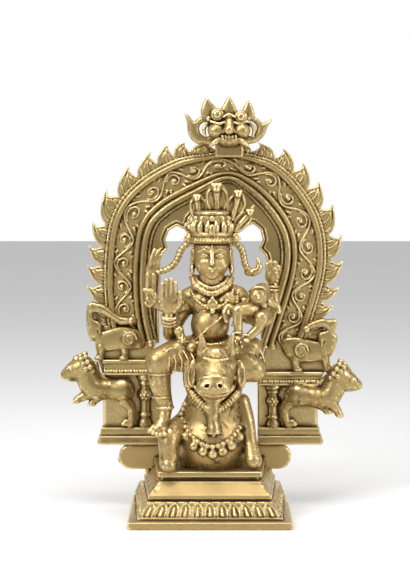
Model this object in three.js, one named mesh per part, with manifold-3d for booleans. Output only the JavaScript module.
// A cast brass Uma-maheshvara: Shiva with Uma on his thigh, seated on the bull, and the aureole behind them.
// Millimetres, +Z up. X runs to the viewer's right and -Y faces the viewer.
// The origin is the middle of the plinth's underside.
import * as THREE from 'three';
import { mergeVertices } from 'three/addons/utils/BufferGeometryUtils.js';
import Module from 'manifold-3d';

const wasm = await Module();
wasm.setup();

// Plinth: rectangular foot, tiers that widen towards the back, and the slab the bull lies on.
// Each level is its height, its half width in front and behind, and where it starts and ends in depth.
const PLINTH = {
  foot: { z: 0, front: 57, rear: 57.5, yFront: -45, yRear: 45 },
  footTop: { z: 5.2, front: 57, rear: 57.5, yFront: -45, yRear: 45 },
  filletTop: { z: 7, front: 50, rear: 55.5, yFront: -39, yRear: 43 },
  petalLow: { z: 7, front: 48.5, rear: 54.5, yFront: -37.5, yRear: 42 },
  petalHigh: { z: 17, front: 43, rear: 52, yFront: -31.5, yRear: 40 },
  necking: { z: 18.6, front: 41.5, rear: 47.5, yFront: -30, yRear: 38.5 },
  rimHigh: { z: 21.2, front: 43, rear: 48.8, yFront: -31.5, yRear: 39.5 },
  slopeHigh: { z: 30, front: 35, rear: 42, yFront: -24, yRear: 38 },
  throatHigh: { z: 33, front: 34, rear: 40.5, yFront: -23, yRear: 37.5 },
  slabHigh: { z: 36.7, front: 36.4, rear: 42, yFront: -26, yRear: 39.4 },
};
const PLINTH_BED = 1; // how far each moulding is sunk in the one below it
const PETAL = { pitch: 10.4, width: 8.6, raise: 1, taper: 0.6, edge: 0.5, margin: 4 };
const LUG = {
  left: -66.9, right: 60.1, low: 27.8, high: 45.8, yFront: 27.5, yRear: 39.4, round: 8.5,
};
const TANG = { left: -45.9, right: 44.3, width: 3.6, yFront: 30.5, yRear: 35, low: 23, gap: 0.35 };

const BULL = {
  body: { at: [1.5, 0, 57], radii: [28, 24, 33] },
  chest: { at: [1.5, -9, 54], radii: [21.5, 19, 19] },
  neck: [[1.8, -4, 84], [4, -13, 110]], neckThick: [18, 14],
  head: [[4.4, -20, 111], [3.4, -31, 105], [2.5, -40, 98.6]], headThick: [15, 13.2, 9.6],
  muzzle: [[-3, -41.6, 97.6], [7.8, -41.6, 97.2]], muzzleThick: [6.6, 6.6],
  eyes: [[-6.8, -32.4, 112.4], [13.8, -32.4, 110.8]], eyeSize: 3,
  horns: [[[-4.6, -23, 121], [-6.2, -26, 133.4]], [[13.8, -23, 121], [16.2, -26, 133.6]]], hornThick: [4.2, 1.2],
  ears: [{ at: [-11.6, -18, 105], radii: [3.8, 4.8, 10] }, { at: [21.4, -20, 103.4], radii: [3.4, 4.4, 9.4] }],
  collar: [[-15, -8, 96], [-11.4, -18.6, 89], [2.6, -25.4, 79], [17, -18.6, 88], [20, -8, 95]], collarThick: 3,
  bellTop: [2.8, -27, 75.6], bell: [[5.4, 11.4], [4.3, 8], [1.8, 0]],
  garland: [
    [-17, 79.6], [-19.4, 73], [-15.6, 64.6], [-8, 56.6], [1.6, 53], [11.6, 56.6], [19.4, 64.4], [23.4, 72], [20.4, 79.6],
  ],
  cordThick: 2.6, drop: { count: 9, size: 3.6, below: 5, spread: 1.04 },
  legs: [
    [[-19, -5, 66], [-28.4, -21.4, 58.6], [-28.8, -22.6, 43]],
    [[22.5, -6, 83], [27.4, -12, 62], [30.6, -19.4, 44]],
  ],
  legThick: [[9, 7, 6.6], [6, 4.8, 6.2]],
};

const SHIVA = {
  pelvis: { at: [1.5, 3, 120], radii: [20, 13, 12] },
  belly: { at: [0.2, -3, 137.6], radii: [13.6, 12.4, 13.4] },
  chest: { at: [2.8, 2, 152], radii: [17.4, 10.6, 14] },
  shoulders: [[-13.2, 3, 157], [19.6, 3, 157.6]],
  neck: [[1.2, 1.5, 160], [1.4, -1, 174]], neckThick: 9.4,
  skull: { at: [1.5, 0, 187.4], radii: [13, 12, 14] },
  jaw: { at: [1.5, -2.6, 180.6], radii: [12, 10, 11.4] },
  nose: [[1.5, -11, 189.4], [1.5, -13.6, 181.6]], noseThick: [1.2, 2.2],
  crown: [[15, 196.4], [13.6, 200.6], [14, 207], [12.4, 209], [11.4, 216.4]],
  crownAxis: [1.4, 1.5],
  ears: [{ at: [-11.8, 2, 184], radii: [3.2, 3.8, 9.6] }, { at: [14.6, 2, 183.4], radii: [3.2, 3.8, 9.6] }],
  flowers: [{ at: [-14.6, 4.6, 198.6], radii: [5.8, 2.8, 3] }, { at: [18.4, 4.6, 198.8], radii: [5.8, 2.8, 3] }],
  locks: [
    [[-6, 4, 193], [-14.6, 7.4, 195.4], [-20.4, 8.6, 190], [-24.4, 9.6, 181.6], [-30, 11, 176.4], [-38, 13, 174]],
    [[8, 4, 193], [17.4, 7.4, 195], [22.6, 8, 190], [24.8, 8.6, 181], [28, 9.4, 174.6], [34, 9, 175.4], [34.6, 9, 183]],
  ],
  lockThick: 2.3,
  collar: [[-12, 2, 170], [-8.6, -5.6, 165.4], [1.4, -9, 161.6], [11.4, -5.6, 165.4], [15, 2, 170]],
  collarThick: 3.2,
  necklace: [[-12.4, 159], [-8.8, 152.4], [1.6, 146.8], [12.4, 152.4], [16.4, 159]], necklaceThick: 1.8,
};
// The cobra hoods: spread of each, its tilt, and the small head in front of its top.
const HOODS = [
  { at: [5.1, 9, 225], radii: [8.8, 3.2, 13], turn: 0, head: [4.6, 3.8, 235], size: 4.6 },
  { at: [-8, 9, 219.6], radii: [6.6, 3, 10], turn: -0.1, head: [-9.1, 4.6, 227.6], size: 3.4 },
  { at: [18.4, 9, 220.6], radii: [6.8, 3, 11.4], turn: 0.3, head: [20, 4.6, 230.4], size: 3.6 },
  { at: [22.8, 8.6, 210], radii: [4.8, 3, 11], turn: 0.72, head: [28.6, 6, 217.4], size: 3.4 },
  { at: [-13.4, 8.6, 206.6], radii: [5.4, 3, 4.8], turn: -0.5, head: [-14.4, 7, 206.6], size: 2.6 },
];
const ARMS = {
  frontRight: { elbow: [-27.6, 3, 130.6], wrist: [-28.8, -13, 144.4], thick: [7.2, 5.2, 4] },
  frontLeft: { elbow: [27.6, -3, 143], wrist: [12.5, -13, 150.4], thick: [7.2, 4.6, 3.4] },
  backRight: { elbow: [-42.4, 14, 153.4], wrist: [-42.4, 14, 173], thick: [5, 4, 3] },
  backLeft: { elbow: [46.4, 13, 152], wrist: [45.4, 14, 166], thick: [5, 4, 2.8] },
  palm: [
    [-33, 144], [-25, 144], [-20.6, 153], [-20, 162], [-22.4, 161.6], [-24, 156], [-22.8, 168], [-26.2, 171],
    [-28.4, 171], [-31.4, 170], [-34.4, 166.4], [-34.8, 155],
  ],
  palmFront: -18, palmBack: -12.8, cuff: 5.4,
  backRightHand: [[-41.6, 13.6, 176], [-36, 12.6, 188]], backHandThick: [4, 2.8],
  backLeftHand: { at: [44.8, 13, 171], radii: [6, 3.6, 6] },
  backLeftFingers: [[41.4, 13, 179], [48, 13, 179]], fingerThick: [2.4, 1.7],
  scroll: [[-46.6, 12, 160], [-40.4, 11, 158.4], [-39.6, 11, 152], [-43.6, 12, 149.6], [-46.4, 12, 152.4]],
  scrollThick: 2, frontLeftHand: [[10.6, -14, 151.4], [11.8, -16.4, 144.4]], frontHandThick: [3, 2],
};
const LEGS = {
  right: [[-8, 0, 119.6], [-35.2, -12.6, 112.6], [-34.8, -14, 98], [-31, -14.6, 81]], rightThick: [11, 9.6, 7.6, 4.8],
  foot: [[-31, -14, 80], [-33.6, -20, 70.6], [-37, -27, 66]], footThick: [5, 5, 4.6],
  left: [[10, 0, 119], [31.4, -12, 107], [8, -15, 104]], leftThick: [11, 8.6, 6],
  drape: { at: [27.6, -4, 120.6], radii: [11, 10, 9.4] },
  strap: [[-14.6, -9, 121], [-15.4, -12.4, 110], [-15.6, -11.4, 97.6]], strapThick: 2.8,
  girdle: [[-11, -9, 121], [-18.6, -11.4, 127], [-21.6, -11, 134]], girdleThick: [4.4, 4, 3.4],
  disc: { at: [-25.4, -14, 119.6], radii: [6.6, 3.8, 4.8] },
};
const UMA = {
  head: { at: [34, -14, 159.2], radii: [7, 7, 7.6] },
  bun: { at: [36.4, -8, 161.6], radii: [5.8, 5.2, 5.8] },
  trunk: { at: [34, -8, 147.4], radii: [9.6, 7, 10] },
  legs: [
    [[37, -10, 147.4], [19.4, -18.4, 148.4], [19.6, -20, 131.6]],
    [[38, -11, 146], [34.6, -19, 142], [25.8, -20.6, 130]],
  ],
  legThick: [5, 4.6, 3.2], footReach: 3,
  arms: [[[27.4, -8, 155], [22.4, -15.4, 151.4]], [[41, -8, 154], [47.4, -3, 150.4]]], armThick: [3.4, 2.6],
};

// Aureole: the line of the inner roll from the left foot over the apex to the right foot, as [x, z].
// The other mouldings run along it, at distances that shrink near the apex.
const DEPTH = { back: 37.2, panel: 33, leaves: 33.8, recess: 34.6 };
const ROLL_LINE = [
  [-46.1, 121.4], [-50.4, 143.5], [-51.6, 174.2], [-47.5, 204], [-34.9, 220], [-10.8, 233.6], [11.8, 243],
  [28.5, 236.3], [44.9, 221.6], [57.1, 201.9], [59.5, 180], [54.1, 156], [42.5, 119],
];
// The section of the arch, from its inner edge to the foot of the leaves, as [distance, depth].
const SECTION = [
  [-6, 37.2], [-6, 34], [-4.6, 30.4], [-2.4, 28.4], [0, 30.8], [2.6, 28.8], [5, 31], [5.6, 33], [19.6, 33],
  [21.4, 30.2], [24, 30.2], [25.8, 33.2], [26.6, 37.2],
];
const BAND = { steps: 22, apexShrink: 0.32, apexReach: 17, recessStart: -3.6 };
// Each leaf's outline is given by places along it, from -1 to 1, and by shares of its reach.
const LEAVES = {
  count: 24, start: 0.02, end: 0.985, foot: 25.8, reach: 11.6, inner: 24.6,
  outline: [[-1, 0.2], [-0.3, 0.76], [0.95, 1.06], [0.98, 0.45]],
};
const OPENING = [
  [-36.6, 112], [-37.2, 150], [-35.6, 170], [-36, 180], [-34, 186], [-30.2, 189.4], [-32.2, 196], [-29.6, 202.6],
  [-24, 206], [-16.6, 202.4], [-14.6, 211], [-7, 219], [5.2, 222.8], [16, 219.4], [22, 212], [24.4, 203.4],
  [31.6, 207.5], [37, 203], [38.6, 196], [35.6, 189.4], [40.4, 184.6], [41.8, 179], [39.8, 175.2], [42.6, 168],
  [42, 150], [37, 132], [38.6, 107],
];
const BAR = { leftHigh: 113, leftLow: 100.6, rightHigh: 105, rightLow: 92, front: 30.6 };
const PANEL = {
  left: {
    inner: -35.8, outer: -78.5, shelfOuter: -82.2, beamHigh: 108.6, beamLow: 97, beamOuter: -77.5, pilaster: -47.6,
    upperEdge: [[-82, 108], [-84, 118], [-80, 132], [-60, 136], [-45, 122]],
  },
  right: {
    inner: 35.3, outer: 79.6, shelfOuter: 83.5, beamHigh: 99.6, beamLow: 89.4, beamOuter: 82, pilaster: 46.8,
    upperEdge: [[85, 100], [86, 112], [84, 124], [66, 132], [42, 120]],
  },
  shelfLow: 46.2, shelfHigh: 58.6, shelfStep: 7, shelfFront: 24.6, shelfLip: 26.6, shelfBevel: 3,
  beamFront: 28.2, beamLip: 27.2, fillet: 3,
  pilasterDepth: 31.6, pilasterProfile: [[5, 0], [3.4, 0.44], [5.2, 0.6], [3.4, 0.76], [5.4, 1]],
};
const LION = {
  bodyThick: [8.6, 9.4, 7.4, 8.4], headThick: [8.2, 7, 4.6], haunchRadii: [8.4, 6, 8.6], legThick: [4.6, 3, 3.6],
  foreThick: [4.6, 2.4], tailThick: 1.8, earSize: 3, toe: 4,
};
const LIONS = {
  left: {
    side: -1, head: [[-92, 26, 104], [-99, 25.6, 101], [-104.4, 25, 97.4]], ears: [[-97, 25, 109.6], [-92, 25.6, 108.6]],
    body: [[-91, 26.6, 100], [-84.6, 26.6, 88.4], [-73, 28, 87], [-63.4, 28.6, 86]], haunch: [-64, 27, 86.4],
    hind: [[-62, 28, 78], [-57.6, 28, 72], [-57.4, 28, 62]],
    fore: [[[-88, 25.6, 84], [-96.6, 24, 80]], [[-82, 26, 82], [-85.6, 26, 77.6]]],
    tail: [[-60, 29, 93], [-72, 28.4, 92.6], [-81, 28.4, 98], [-83.4, 28.6, 105]],
  },
  right: {
    side: 1, head: [[95, 26, 98.4], [101.6, 25.6, 92.4], [107, 25, 89.4]], ears: [[99.6, 25.4, 102], [94.6, 26, 100]],
    body: [[94, 26.6, 95.6], [86, 26.6, 81.6], [74, 28, 81.4], [64, 28.6, 83]], haunch: [62.6, 27, 82],
    hind: [[57.6, 28, 76], [54.8, 28, 71.6], [56.6, 28, 61.6]],
    fore: [[[89, 25.6, 77.4], [94.6, 24.4, 69.4]], [[82, 26, 76], [86, 26, 71.6]]],
    tail: [[55, 30, 87], [64, 28.6, 91], [76, 28.4, 88.6], [86.6, 28.6, 96]],
  },
};
// The makaras, in low relief: body, raised trunk with its curled end, the disc on the haunch, and legs.
const MAKARAS = {
  front: 27, trunkFront: 26, discRadii: [5.6, 3, 6.6], legThick: [3.4, 2.4], legDepth: 30.4,
  left: {
    body: [[-87, 124.6], [-74.8, 130.4], [-64.6, 132.9], [-53.7, 131], [-48.6, 122.4], [-50.1, 116.5], [-66, 115.6], [-84, 115.4]],
    trunk: [
      [-87, 122], [-90.1, 136.3], [-88.6, 150.2], [-76.6, 148.7], [-64.6, 139.2], [-54.4, 139.2], [-54.4, 135.6],
      [-64.6, 134.1], [-77.7, 141.4], [-82.6, 142], [-83, 138.6], [-77.8, 137], [-77.6, 130], [-82, 122],
    ],
    disc: [-58.4, 28, 124], legs: [[-80, 118], [-80, 109]], legsRear: [[-62.6, 118], [-62, 109]],
  },
  right: {
    body: [[52.1, 119.4], [54.2, 123.8], [62.2, 125], [74.7, 122.6], [88.6, 119], [88.6, 113], [82, 107.7], [63.1, 106.9], [53.5, 113.6]],
    trunk: [
      [84, 112], [89.4, 113], [93.2, 124.6], [90.7, 129], [93.1, 137.4], [81.8, 138.6], [68, 132.6], [70, 128.6],
      [81.9, 132.6], [84.8, 130.4], [79.4, 128], [79.4, 121],
    ],
    disc: [66.4, 28, 115.4], legs: [[84, 110], [86, 100]], legsRear: [[62.4, 109], [63.4, 100]],
  },
};
const KIRTIMUKHA = {
  face: { at: [13.8, 26, 276], radii: [15.6, 10.4, 11.4] },
  cheeks: [{ at: [4.8, 20, 274.8], radii: [6.4, 6, 5.6] }, { at: [22.8, 20, 275.2], radii: [6.4, 6, 5.6] }],
  nose: { at: [13.8, 16.8, 278.6], radii: [4.4, 4.4, 4.8] },
  mouth: { at: [13.4, 21, 268.6], radii: [9, 6.6, 5] },
  eyes: [[5.4, 20.6, 286], [22.2, 20.6, 284.4]], eyeSize: 4.6,
  horns: [
    [[-6.3, 286], [-2.3, 298], [4, 291.6], [5, 282], [-1, 280]],
    [[6.4, 284], [8, 289.6], [13.8, 299.6], [19.6, 289.6], [21.4, 284]],
    [[22.6, 282], [23.6, 291.2], [28, 296.2], [32.2, 287.6], [28, 279]],
  ],
  hornFront: 22, hornBack: 31,
  arms: [
    [
      [4, 264.6], [-9.2, 265.6], [-15.7, 273], [-16.4, 281.2], [-17.8, 287.8], [-11.3, 281.2], [-4.1, 284.6], [4, 284.6],
      [-4.6, 280], [-6.4, 275], [-3.4, 271], [4, 270.6],
    ],
    [
      [22, 265.6], [34.8, 267.2], [40.6, 274.7], [42, 279], [44.7, 282.8], [37.7, 280.1], [31.9, 284.3], [24, 284.6],
      [31, 280], [32.2, 275], [29.8, 271.2], [22, 270.4],
    ],
  ],
  armFront: 23.6, armBack: 31,
  tusks: [[[6, 20, 269.6], [0.6, 17.6, 264.6]], [[20.4, 20, 269.6], [26, 17.6, 264]]], tuskThick: [1.9, 1.1],
  backing: { x: [4, 24], z: [256, 286] },
};

const FINE = 7; // sides of a rounded form
const COARSE = 4; // sides of a small bead or a thin strand
const DOMED = 6; // a limb of fewer sides than this has blunt ends
const vector = (p) => new THREE.Vector3(...p);

// A closed mesh as a solid, its doubled points and its empty triangles gone.
function toSolid(geometry) {
  geometry.deleteAttribute('normal');
  geometry.deleteAttribute('uv');
  const merged = mergeVertices(geometry);
  const corners = [];
  for (let i = 0; i < merged.index.count; i += 3) {
    const [a, b, c] = [0, 1, 2].map((k) => merged.index.getX(i + k));
    if (a !== b && b !== c && c !== a) corners.push(a, b, c);
  }
  return new wasm.Manifold(new wasm.Mesh({
    numProp: 3,
    vertProperties: new Float32Array(merged.attributes.position.array),
    triVerts: new Uint32Array(corners),
  }));
}

const joined = (solids) => solids.reduce((sum, next) => sum.add(next));
const shares = (start, end, count) => Array.from({ length: count + 1 }, (_, i) => start + ((end - start) * i) / count);

// A rounded lump with three radii, turned by an angle about the depth axis if one is given.
function lump({ at, radii, turn = 0 }, sides = FINE) {
  const geometry = new THREE.SphereGeometry(1, sides, Math.max(3, Math.round(sides * 0.6)));
  geometry.rotateX(Math.PI / 2);
  geometry.scale(...radii);
  geometry.rotateY(turn);
  geometry.translate(...at);
  return toSolid(geometry);
}

const ball = (at, size, sides = COARSE) => lump({ at, radii: [size, size, size] }, sides);

// How far in front (side -1) or behind (side 1) the lumps reach at [x, z].
function surfaceAt(lumps, [x, z], side = -1) {
  const depths = lumps.map(({ at, radii }) => {
    const rest = 1 - ((x - at[0]) / radii[0]) ** 2 - ((z - at[2]) / radii[2]) ** 2;
    return side * at[1] + radii[1] * Math.sqrt(Math.max(rest, 0));
  });
  return side * Math.max(...depths);
}

// Points [x, z] laid on the lumps' surface, and sunk into it a little.
const laidOn = (lumps, points, sink, side = -1) => points.map(
  ([x, z]) => [x, surfaceAt(lumps, [x, z], side) - side * sink, z],
);

// A limb through its joints, of one thickness at each, with domed ends: a turned form bent along a curve.
function limb(joints, thicks, sides = 6, rows = joints.length * 2 - 1) {
  const path = joints.length > 2
    ? new THREE.CatmullRomCurve3(joints.map(vector), false, 'centripetal')
    : new THREE.LineCurve3(...joints.map(vector));
  const last = joints.length - 1;
  const thickAt = (t) => {
    const i = Math.min(Math.floor(t * last), last - 1);
    return thicks[i] + (thicks[i + 1] - thicks[i]) * (t * last - i);
  };
  const dome = (t, radius, away) => (sides < DOMED ? [] : [[t, radius * Math.SQRT1_2, away * radius * Math.SQRT1_2]]);
  const rings = [
    [0, 0, -thicks[0]], ...dome(0, thicks[0], -1),
    ...shares(0, 1, rows).map((t) => [t, thickAt(t), 0]),
    ...dome(1, thicks[last], 1), [1, 0, thicks[last]],
  ];
  const profile = rings.map(([, radius], i) => new THREE.Vector2(radius, i));
  const geometry = new THREE.LatheGeometry(profile, sides);
  const corners = geometry.attributes.position;
  const upright = Math.abs(path.getTangent(0.5).y) > 0.8 ? new THREE.Vector3(1, 0, 0) : new THREE.Vector3(0, 1, 0);
  for (let i = 0; i < corners.count; i += 1) {
    const [t, , beyond] = rings[Math.round(corners.getY(i))];
    const along = path.getTangent(t);
    const across = new THREE.Vector3().crossVectors(upright, along).normalize();
    const over = new THREE.Vector3().crossVectors(across, along);
    const point = path.getPoint(t).addScaledVector(along, beyond)
      .addScaledVector(across, corners.getX(i)).addScaledVector(over, corners.getZ(i));
    corners.setXYZ(i, point.x, point.y, point.z);
  }
  return toSolid(geometry);
}

// A strand of even thickness along a smooth curve.
function strand(points, thick, steps = 8, sides = COARSE) {
  const section = new THREE.Shape(
    Array.from({ length: sides }, (_, i) => {
      const angle = (i / sides) * 2 * Math.PI;
      return new THREE.Vector2(thick * Math.cos(angle), thick * Math.sin(angle));
    }),
  );
  const path = new THREE.CatmullRomCurve3(points.map(vector));
  return toSolid(new THREE.ExtrudeGeometry(section, { steps, extrudePath: path }));
}

// A turned form about an upright axis at [x, y], from [radius, height] pairs in rising order.
function turned(profile, [x, y], sides) {
  const closed = [[0, profile[0][1]], ...profile, [0, profile.at(-1)[1]]];
  const geometry = new THREE.LatheGeometry(closed.map(([r, z]) => new THREE.Vector2(r, z)), sides);
  geometry.rotateX(Math.PI / 2);
  geometry.translate(x, y, 0);
  return toSolid(geometry);
}

// A flat plate whose outline is given as [x, z], between two depths.
function plate(outline, front, back) {
  const shape = new THREE.Shape(outline.map(([x, z]) => new THREE.Vector2(x, z)));
  const geometry = new THREE.ExtrudeGeometry(shape, { depth: back - front, bevelEnabled: false });
  geometry.rotateX(Math.PI / 2);
  geometry.translate(0, back, 0);
  return toSolid(geometry);
}

function block([x0, x1], [y0, y1], [z0, z1]) {
  const geometry = new THREE.BoxGeometry(x1 - x0, y1 - y0, z1 - z0);
  geometry.translate((x0 + x1) / 2, (y0 + y1) / 2, (z0 + z1) / 2);
  return toSolid(geometry);
}

// One tier of the plinth between two of its levels.
function tier(low, high) {
  const geometry = new THREE.BoxGeometry(1, 1, 1);
  const corners = geometry.attributes.position;
  for (let i = 0; i < corners.count; i += 1) {
    const level = corners.getZ(i) < 0 ? low : high;
    const rear = corners.getY(i) > 0;
    corners.setXYZ(
      i,
      Math.sign(corners.getX(i)) * (rear ? level.rear : level.front),
      rear ? level.yRear : level.yFront,
      level.z,
    );
  }
  return toSolid(geometry);
}

// Lotus petals on one sloping face of the petal tier, given by the ends of its lower and upper edge.
function petalRow([lowStart, lowEnd, highStart, highEnd]) {
  const [a, b, c, d] = [lowStart, lowEnd, highStart, highEnd].map(vector);
  const along = b.clone().sub(a).normalize();
  const normal = new THREE.Vector3().crossVectors(b.clone().sub(a), d.clone().sub(a)).normalize();
  const count = Math.round((b.distanceTo(a) - PETAL.margin) / PETAL.pitch);
  const half = PETAL.width / 2;
  return joined(Array.from({ length: count }, (_, i) => {
    const share = (i + 0.5) / count;
    const foot = a.clone().lerp(b, share);
    const rise = c.clone().lerp(d, share).sub(foot);
    const length = rise.length();
    const outline = [
      [-half, PETAL.edge], [half, PETAL.edge], [half * PETAL.taper, length - PETAL.edge],
      [-half * PETAL.taper, length - PETAL.edge],
    ];
    const shape = new THREE.Shape(outline.map(([x, y]) => new THREE.Vector2(x, y)));
    const geometry = new THREE.ExtrudeGeometry(shape, { depth: 2 * PETAL.raise, bevelEnabled: false });
    geometry.translate(0, 0, -PETAL.raise);
    const up = rise.projectOnPlane(along).normalize();
    geometry.applyMatrix4(new THREE.Matrix4().makeBasis(along, up, normal));
    geometry.translate(...foot.toArray());
    return toSolid(geometry);
  }));
}

function plinth() {
  const P = PLINTH;
  const corner = (level, side, rear) => [
    side * (rear ? level.rear : level.front), rear ? level.yRear : level.yFront, level.z,
  ];
  const face = (start, end) => [
    corner(P.petalLow, ...start), corner(P.petalLow, ...end), corner(P.petalHigh, ...start), corner(P.petalHigh, ...end),
  ];
  const [frontLeft, frontRight, rearLeft, rearRight] = [[-1, false], [1, false], [-1, true], [1, true]];
  const bedded = (level, depth) => ({ ...level, z: depth });
  return joined([
    tier(P.foot, P.footTop),
    tier(bedded(P.filletTop, P.footTop.z - PLINTH_BED), P.filletTop),
    tier(bedded(P.petalLow, P.petalLow.z - PLINTH_BED), P.petalLow), tier(P.petalLow, P.petalHigh),
    tier(bedded(P.necking, P.petalHigh.z - PLINTH_BED), P.necking),
    tier(bedded(P.rimHigh, P.necking.z - PLINTH_BED), P.rimHigh), tier(P.rimHigh, P.slopeHigh),
    tier(bedded(P.throatHigh, P.slopeHigh.z - PLINTH_BED), P.throatHigh),
    tier(bedded(P.slabHigh, P.throatHigh.z - PLINTH_BED), P.slabHigh),
    petalRow(face(frontLeft, frontRight)), petalRow(face(frontRight, rearRight)), petalRow(face(rearLeft, frontLeft)),
  ]);
}

// The bar across the back of the plinth, with a rounded lug at each end, and the slots for the tangs.
function lugs() {
  const L = LUG;
  const middle = (L.low + L.high) / 2;
  const half = (L.high - L.low) / 2;
  const arc = (centre, start) => shares(start, start + Math.PI, 6).map(
    (angle) => [centre + L.round * Math.cos(angle), middle + half * Math.sin(angle)],
  );
  const outline = [...arc(L.right - L.round, -Math.PI / 2), ...arc(L.left + L.round, Math.PI / 2)];
  const slots = [TANG.left, TANG.right].map((x) => block(
    [x - TANG.width / 2 - TANG.gap, x + TANG.width / 2 + TANG.gap],
    [TANG.yFront - TANG.gap, TANG.yRear + TANG.gap],
    [PLINTH.rimHigh.z, L.high + 1],
  ));
  return { bar: plate(outline, L.yFront, L.yRear), slots: joined(slots) };
}

// Points spaced evenly along a smooth curve.
const spaced = (points, count) => new THREE.CatmullRomCurve3(points.map(vector)).getSpacedPoints(count - 1);

// The bull's garland: a cord around the chest with a row of drops below it.
function garland() {
  const { garland: line, cordThick, drop, body, chest } = BULL;
  const trunk = [body, chest];
  const drops = spaced(laidOn(trunk, line, 0), drop.count + 2).slice(1, -1).map(({ x, z }) => {
    const [at] = laidOn(trunk, [[x * drop.spread, z - drop.below]], 0);
    return ball(at, drop.size);
  });
  return joined([strand(laidOn(trunk, line, 0), cordThick), ...drops]);
}

function bull() {
  const B = BULL;
  const bell = B.bell.map(([radius, drop]) => [radius, B.bellTop[2] - drop]);
  return joined([
    lump(B.body, 10), lump(B.chest, 8),
    limb(B.neck, B.neckThick, 7, 1), limb(B.head, B.headThick, 7, 2), limb(B.muzzle, B.muzzleThick, 6, 1),
    ...B.eyes.map((eye) => ball(eye, B.eyeSize)), ...B.horns.map((horn) => limb(horn, B.hornThick, 5, 1)),
    ...B.ears.map((ear) => lump(ear, 5)),
    strand(B.collar, B.collarThick), garland(), turned(bell, B.bellTop, 6),
    ...B.legs.map((leg, i) => limb(leg, B.legThick[i], 6, 3)),
  ]);
}

// A cobra's spread hood, with its small head in front.
function hood({ at, radii, turn, head: front, size }) {
  return lump({ at, radii, turn }, 6).add(limb([[front[0], at[1], front[2] - size / 2], front], [size, size], COARSE, 1));
}

function crown() {
  const S = SHIVA;
  return turned(S.crown, S.crownAxis, 10);
}

function head() {
  const S = SHIVA;
  return joined([
    lump(S.skull, 8), lump(S.jaw), limb(S.nose, S.noseThick, COARSE, 1),
    ...S.ears.map((ear) => lump(ear, 5)), ...S.flowers.map((flower) => lump(flower, COARSE)),
    ...S.locks.map((lock) => strand(lock, S.lockThick, 6)),
    crown(), ...HOODS.map(hood),
  ]);
}

function arms() {
  const [A, S] = [ARMS, SHIVA];
  const arm = ({ elbow, wrist, thick }, shoulder, sides) => limb([shoulder, elbow, wrist], thick, sides, 3);
  const backRoot = ([x, y, z]) => [x * 0.7, y + 5, z - 2];
  const [right, left] = S.shoulders;
  return joined([
    arm(A.frontRight, right, 6), arm(A.frontLeft, left, 6),
    arm(A.backRight, backRoot(right), 5), arm(A.backLeft, backRoot(left), 5),
    plate(A.palm, A.palmFront, A.palmBack), ball(A.frontRight.wrist, A.cuff),
    limb(A.backRightHand, A.backHandThick, 5, 1), lump(A.backLeftHand, 5),
    ...A.backLeftFingers.map((tip) => limb([A.backLeftHand.at, tip], A.fingerThick, COARSE, 1)),
    strand(A.scroll, A.scrollThick, 5), limb(A.frontLeftHand, A.frontHandThick, COARSE, 1),
  ]);
}

function legs() {
  const L = LEGS;
  return joined([
    limb(L.right, L.rightThick, 6, 3), limb(L.foot, L.footThick, 5, 2),
    limb(L.left, L.leftThick, 6, 2), lump(L.drape, 6), strand(L.strap, L.strapThick, 3), lump(L.disc, 5),
    limb(L.girdle, L.girdleThick, 5, 2),
  ]);
}

function shiva() {
  const S = SHIVA;
  return joined([
    lump(S.pelvis), lump(S.belly), lump(S.chest, 8),
    limb(S.neck, [S.neckThick, S.neckThick], 7, 1), head(), arms(), legs(),
    strand(S.collar, S.collarThick, 7), strand(laidOn([S.chest, S.belly], S.necklace, 0.2), S.necklaceThick, 6),
  ]);
}

function uma() {
  const U = UMA;
  return joined([
    lump(U.head, 6), lump(U.bun, 5), lump(U.trunk, 6),
    ...U.legs.map((leg) => {
      const [x, y, z] = leg.at(-1);
      const foot = limb([[x, y, z], [x, y - U.footReach, z - 1]], [U.legThick[2], U.legThick[2]], COARSE, 1);
      return limb(leg, U.legThick, 5, 3).add(foot);
    }),
    ...U.arms.map((arm) => limb(arm, U.armThick, COARSE, 1)),
  ]);
}

// The roll line as a smooth curve, and the point beside it, to the outside, at any place and distance.
const rollCurve = new THREE.CatmullRomCurve3(ROLL_LINE.map(([x, z]) => new THREE.Vector3(x, 0, z)));
const [apexX, apexZ] = ROLL_LINE[(ROLL_LINE.length - 1) / 2];

function bandPoint(share, distance) {
  const point = rollCurve.getPointAt(share);
  const tangent = rollCurve.getTangentAt(share);
  const fromApex = Math.hypot(point.x - apexX, point.z - apexZ) / BAND.apexReach;
  const reach = distance * (1 - BAND.apexShrink * Math.exp(-fromApex * fromApex));
  return [point.x - tangent.z * reach, point.z + tangent.x * reach];
}

// The line that runs at one distance beside the roll.
const bandLine = (distance, count = BAND.steps) => shares(0, 1, count).map((s) => bandPoint(s, distance));

// The arch with its mouldings: one section carried along the roll line.
function archBody() {
  const shape = new THREE.Shape(SECTION.map(([distance, depth]) => new THREE.Vector2(distance, -depth)));
  const geometry = new THREE.ExtrudeGeometry(shape, { depth: 1, steps: BAND.steps, bevelEnabled: false });
  const corners = geometry.attributes.position;
  for (let i = 0; i < corners.count; i += 1) {
    const [x, z] = bandPoint(corners.getZ(i), corners.getX(i));
    corners.setXYZ(i, x, -corners.getY(i), z);
  }
  return toSolid(geometry);
}

// The flame leaves' edge: each leaf runs out, along its back and up to a tip that is swept upwards.
function flameEdge() {
  const half = (LEAVES.end - LEAVES.start) / LEAVES.count / 2;
  const leaf = (share) => {
    const side = Math.sign(apexX - bandPoint(share, 0)[0]);
    const points = LEAVES.outline.map(
      ([along, out]) => bandPoint(share + side * along * half, LEAVES.foot + out * LEAVES.reach),
    );
    return side > 0 ? points : points.reverse();
  };
  return shares(LEAVES.start + half, LEAVES.end - half, LEAVES.count - 1).flatMap(leaf);
}

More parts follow.
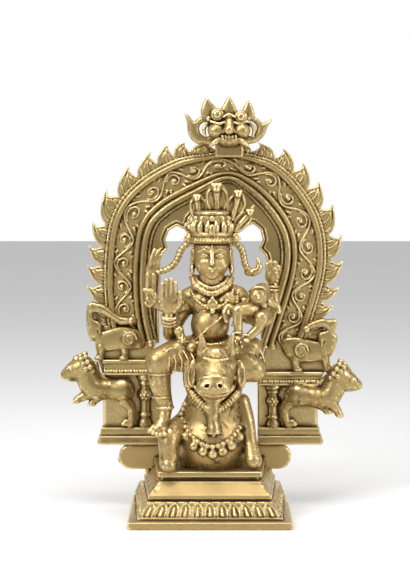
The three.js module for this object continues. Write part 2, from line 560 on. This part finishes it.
function arch() {
  const flames = plate([...flameEdge(), ...bandLine(LEAVES.inner, 12).reverse()], DEPTH.leaves, DEPTH.back);
  const recess = plate([...bandLine(BAND.recessStart, 20), ...[...OPENING].reverse()], DEPTH.recess, DEPTH.back);
  return joined([archBody(), flames, recess]);
}

function kirtimukha() {
  const K = KIRTIMUKHA;
  return joined([
    lump(K.face, 8), ...K.cheeks.map((cheek) => lump(cheek, 6)), lump(K.nose, 5), lump(K.mouth, 6),
    ...K.eyes.map((eye) => ball(eye, K.eyeSize)),
    ...K.horns.map((outline) => plate(outline, K.hornFront, K.hornBack)),
    ...K.arms.map((outline) => plate(outline, K.armFront, K.armBack)),
    ...K.tusks.map((tusk) => limb(tusk, K.tuskThick, COARSE, 1)),
    block(K.backing.x, [K.face.at[1], DEPTH.back], K.backing.z),
  ]);
}

function makara(M) {
  const { front, trunkFront, discRadii, legThick, legDepth } = MAKARAS;
  return joined([
    plate(M.body, front, DEPTH.back - 1), plate(M.trunk, trunkFront, DEPTH.back - 1), lump({ at: M.disc, radii: discRadii }, 6),
    ...[M.legs, M.legsRear].map((leg) => limb(leg.map(([x, z]) => [x, legDepth, z]), legThick, COARSE, 1)),
  ]);
}

function lion(L) {
  const S = LION;
  const [x, y, z] = L.hind.at(-1);
  return joined([
    limb(L.head, S.headThick, 5, 2), limb(L.body, S.bodyThick, 5, 3), lump({ at: L.haunch, radii: S.haunchRadii }, 5),
    limb([...L.hind, [x + L.side * S.toe, y, z]], [...S.legThick, S.legThick[1]], COARSE, 3),
    ...L.fore.map((leg) => limb(leg, S.foreThick, COARSE, 1)), ...L.ears.map((ear) => ball(ear, S.earSize)),
    strand(L.tail, S.tailThick, 3),
  ]);
}

// A turned half column in front of the panel: block, neck, boss, neck, capital.
function pilaster(x, low, high) {
  const profile = PANEL.pilasterProfile.map(([radius, share]) => [radius, low + (high - low) * share]);
  return turned(profile, [x, PANEL.pilasterDepth], 5);
}

// One side of the throne back: plate, flared shelf, beam, pilaster, makara and lion.
function panel(P, makaraAt, lionAt) {
  const side = Math.sign(P.outer);
  const span = (a, b) => [Math.min(a, b), Math.max(a, b)];
  const { shelfLow, shelfHigh, shelfBevel, shelfLip, shelfFront, beamFront, beamLip, fillet } = PANEL;
  const outline = [
    [P.inner, shelfLow], [P.outer, shelfLow], [P.outer, P.beamLow], ...P.upperEdge, [P.inner, P.beamHigh],
  ];
  const foot = [
    [P.inner, shelfLow], [P.shelfOuter, shelfLow], [P.outer + side, shelfHigh - shelfBevel],
    [P.outer + side, shelfHigh], [P.inner, shelfHigh],
  ];
  return joined([
    plate(outline, DEPTH.panel, DEPTH.back),
    plate(foot, shelfLip, DEPTH.back),
    block(span(P.inner, P.shelfOuter - side), [shelfFront, DEPTH.back], [shelfLow, shelfLow + PANEL.shelfStep]),
    block(span(P.inner, P.beamOuter), [beamFront, DEPTH.back], [P.beamLow, P.beamHigh - fillet]),
    block(span(P.inner, P.beamOuter + side), [beamLip, DEPTH.back], [P.beamHigh - fillet, P.beamHigh]),
    pilaster(P.pilaster, shelfHigh - 0.5, P.beamLow + 0.5),
    makara(makaraAt), lion(lionAt),
  ]);
}

function aureole() {
  const { left, right } = PANEL;
  const bar = plate([
    [left.inner - 1, BAR.leftLow], [right.inner + 1, BAR.rightLow],
    [right.inner + 1, BAR.rightHigh], [left.inner - 1, BAR.leftHigh],
  ], BAR.front, DEPTH.back);
  const tangs = [TANG.left, TANG.right].map((x) => block(
    [x - TANG.width / 2, x + TANG.width / 2], [TANG.yFront, TANG.yRear], [TANG.low, PANEL.shelfHigh],
  ));
  return joined([
    arch(), kirtimukha(), bar, ...tangs,
    panel(left, MAKARAS.left, LIONS.left), panel(right, MAKARAS.right, LIONS.right),
  ]);
}

function figureGroup() {
  const { bar, slots } = lugs();
  return joined([plinth(), bar, bull(), shiva(), uma()]).subtract(slots);
}

function toMesh(solid, name, colour, roughness) {
  const mesh = solid.getMesh();
  const geometry = new THREE.BufferGeometry();
  geometry.setAttribute('position', new THREE.BufferAttribute(mesh.vertProperties, 3));
  geometry.setIndex(new THREE.BufferAttribute(mesh.triVerts, 1));
  geometry.computeVertexNormals();
  const material = new THREE.MeshStandardMaterial({ color: colour, roughness, metalness: 1 });
  const piece = new THREE.Mesh(geometry, material);
  piece.name = name;
  return piece;
}

const group = new THREE.Group();
group.add(toMesh(figureGroup(), 'figure_group', 0xa8905a, 0.38));
group.add(toMesh(aureole(), 'aureole', 0x9c8550, 0.45));

export default group;
